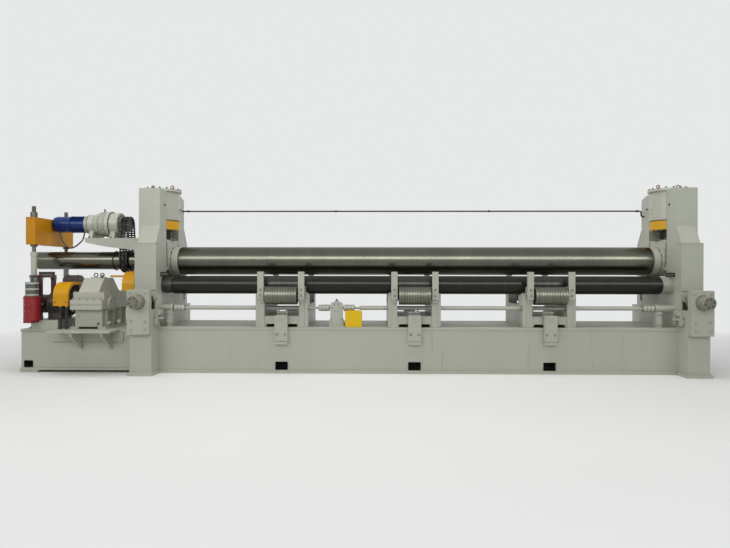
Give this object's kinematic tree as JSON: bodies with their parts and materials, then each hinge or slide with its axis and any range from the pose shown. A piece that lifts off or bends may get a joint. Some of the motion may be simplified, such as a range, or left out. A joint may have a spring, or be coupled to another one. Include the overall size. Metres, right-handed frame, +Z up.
{
  "type": "plate rolling machine",
  "caption": "Long three-roll plate rolling machine with end frames, a low bed, support stands and its drive at the left.",
  "frame": {"origin": "on the floor under the middle of the bed, midway between the two end frames", "axes": "+X along the rolls away from the drive, +Y to the rear, +Z up"},
  "size_m": [10.98, 2.092, 2.99],
  "materials": {
    "machine_paint": "satin",
    "guard_yellow": "satin",
    "motor_blue": "gloss",
    "dark_blue_paint": "satin",
    "grey_blue_paint": "satin",
    "brake_red": "satin",
    "black_paint": "satin",
    "polished_steel": "satin",
    "black_scale_steel": "satin",
    "dark_steel": "satin"
  },
  "bodies": {
    "base": {"machine_bed": "machine_paint", "left_end_frame": "machine_paint", "right_end_frame": "machine_paint", "drive_bed": "machine_paint", "reducer_shelf": "machine_paint", "thrust_plates": "machine_paint", "thrust_cylinders": "machine_paint", "lift_cylinders": "machine_paint", "lift_glands": "guard_yellow", "window_stop_bars": "dark_steel", "stand_stop_plates": "machine_paint", "sync_end_boxes": "machine_paint", "sync_worm_box": "machine_paint", "sync_motor_cover": "guard_yellow", "main_reducer_case": "machine_paint", "main_reducer_cover": "machine_paint", "motor_plinth": "machine_paint", "main_motor": "dark_blue_paint", "brake_drum": "dark_steel", "brake_frame": "brake_red", "brake_thruster": "brake_red", "brake_thruster_head": "grey_blue_paint", "shaft_guard": "guard_yellow", "gear_guard": "guard_yellow", "tail_cylinders": "machine_paint", "hydraulic_line": "black_paint"},
    "upper_carriage": {"lift_rods": "dark_steel", "upper_bearing_blocks": "machine_paint", "upper_bearing_covers": "machine_paint", "drive_bracket": "machine_paint", "planetary_reducer": "machine_paint", "top_drive_motor": "motor_blue", "drive_chain": "dark_steel"},
    "upper_roll_set": {"upper_roll": "polished_steel", "tail_sprocket": "dark_steel"},
    "top_sprocket": {"drive_sprocket": "dark_steel"},
    "lower_carriage": {"lower_bearing_blocks": "machine_paint", "lower_bearing_covers": "machine_paint", "thrust_rods": "dark_steel", "support_stand_1": "machine_paint", "support_stand_2": "machine_paint", "support_stand_3": "machine_paint", "stand_guard_bars": "machine_paint"},
    "front_roll": {"lower_front_roll": "black_scale_steel"},
    "rear_roll": {"lower_rear_roll": "black_scale_steel"},
    "front_rollers": {"front_support_rollers": "polished_steel"},
    "rear_rollers": {"rear_support_rollers": "polished_steel"},
    "cross_shaft": {"sync_shaft": "machine_paint"},
    "tail_clamp": {"tail_beam": "guard_yellow", "tail_rods": "dark_steel"}
  },
  "joints": [
    {"name": "upper_roll_lift", "type": "slide", "parent": "base", "child": "upper_carriage", "axis": [0, 0, 1], "range_m": [-0.07, 0.12]},
    {"name": "upper_roll_spin", "type": "hinge", "parent": "upper_carriage", "child": "upper_roll_set", "pos_m": [0, 0, 1.795], "axis": [1, 0, 0], "continuous": true},
    {"name": "drive_sprocket_spin", "type": "hinge", "parent": "upper_carriage", "child": "top_sprocket", "pos_m": [-4.868, 0, 2.41051], "axis": [1, 0, 0], "continuous": true},
    {"name": "lower_carriage_shift", "type": "slide", "parent": "base", "child": "lower_carriage", "axis": [0, 1, 0], "range_m": [0, 0.06]},
    {"name": "lower_front_roll_spin", "type": "hinge", "parent": "lower_carriage", "child": "front_roll", "pos_m": [0, -0.38, 1.395], "axis": [1, 0, 0], "continuous": true},
    {"name": "lower_rear_roll_spin", "type": "hinge", "parent": "lower_carriage", "child": "rear_roll", "pos_m": [0, 0.38, 1.395], "axis": [1, 0, 0], "continuous": true},
    {"name": "front_support_rollers_spin", "type": "hinge", "parent": "lower_carriage", "child": "front_rollers", "pos_m": [0, -0.61969, 1.233], "axis": [1, 0, 0], "continuous": true},
    {"name": "rear_support_rollers_spin", "type": "hinge", "parent": "lower_carriage", "child": "rear_rollers", "pos_m": [0, 0.61969, 1.233], "axis": [1, 0, 0], "continuous": true},
    {"name": "cross_shaft_spin", "type": "hinge", "parent": "base", "child": "cross_shaft", "pos_m": [0, -0.48, 1.03], "axis": [1, 0, 0], "range_deg": [0, 2160]},
    {"name": "tail_clamp_lift", "type": "slide", "parent": "base", "child": "tail_clamp", "axis": [0, 0, 1], "range_m": [-0.07, 0.12]}
  ],
  "couplings": [
    {"joint": "drive_sprocket_spin", "follows": "upper_roll_spin", "ratio": 1.55},
    {"joint": "lower_rear_roll_spin", "follows": "lower_front_roll_spin", "ratio": 1},
    {"joint": "front_support_rollers_spin", "follows": "lower_front_roll_spin", "ratio": -1.0069},
    {"joint": "rear_support_rollers_spin", "follows": "lower_front_roll_spin", "ratio": -1.0069},
    {"joint": "cross_shaft_spin", "follows": "lower_carriage_shift", "rad_per_m": 628.3},
    {"joint": "tail_clamp_lift", "follows": "upper_roll_lift", "ratio": 1}
  ]
}
